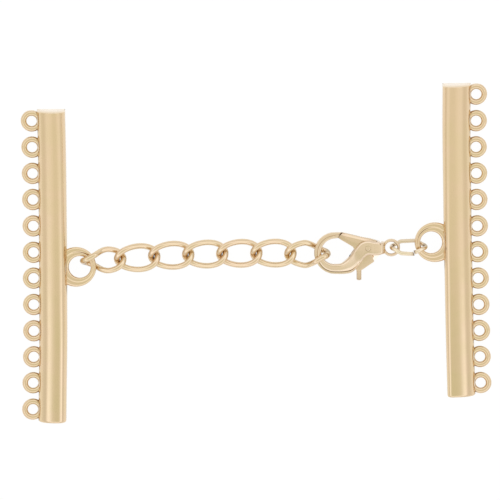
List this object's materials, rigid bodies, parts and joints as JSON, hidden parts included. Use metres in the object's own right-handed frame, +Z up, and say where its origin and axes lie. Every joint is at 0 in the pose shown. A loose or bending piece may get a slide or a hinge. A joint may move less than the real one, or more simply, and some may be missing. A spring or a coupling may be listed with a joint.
{
  "type": "multi-strand clasp",
  "caption": "Two-bar jewellery clasp for joining many bead strands: a row of loops on each bar, a short curb chain and a lobster clasp between them.",
  "frame": {"origin": "under the middle of the whole piece, on the surface it lies on", "axes": "+X along the chain from the left bar to the right bar, +Y along the bars, +Z up from the surface"},
  "size_m": [0.0708, 0.0516, 0.0032],
  "materials": {
    "bar_plate": "polished pale gold plate on a casting",
    "link_plate": "polished pale gold plate on wire",
    "clasp_plate": "polished pale gold plate on a small casting"
  },
  "bodies": {
    "clasp_frame": {"left_end_bar": "bar_plate", "right_end_bar": "bar_plate", "chain_link_1": "link_plate", "chain_link_2": "link_plate", "chain_link_3": "link_plate", "chain_link_4": "link_plate", "chain_link_5": "link_plate", "chain_link_6": "link_plate", "chain_link_7": "link_plate", "jump_ring": "link_plate", "clasp_body": "clasp_plate", "clasp_pin": "clasp_plate"},
    "trigger": {"clasp_trigger": "clasp_plate"}
  },
  "joints": [
    {"name": "trigger_hinge", "type": "hinge", "parent": "clasp_frame", "child": "trigger", "pos_m": [0.01676, 0.00088, 0.0016], "axis": [0, 0, 1], "range_deg": [0, 24], "stiffness_Nm_per_rad": 0.001, "springref_deg": -11.46}
  ]
}
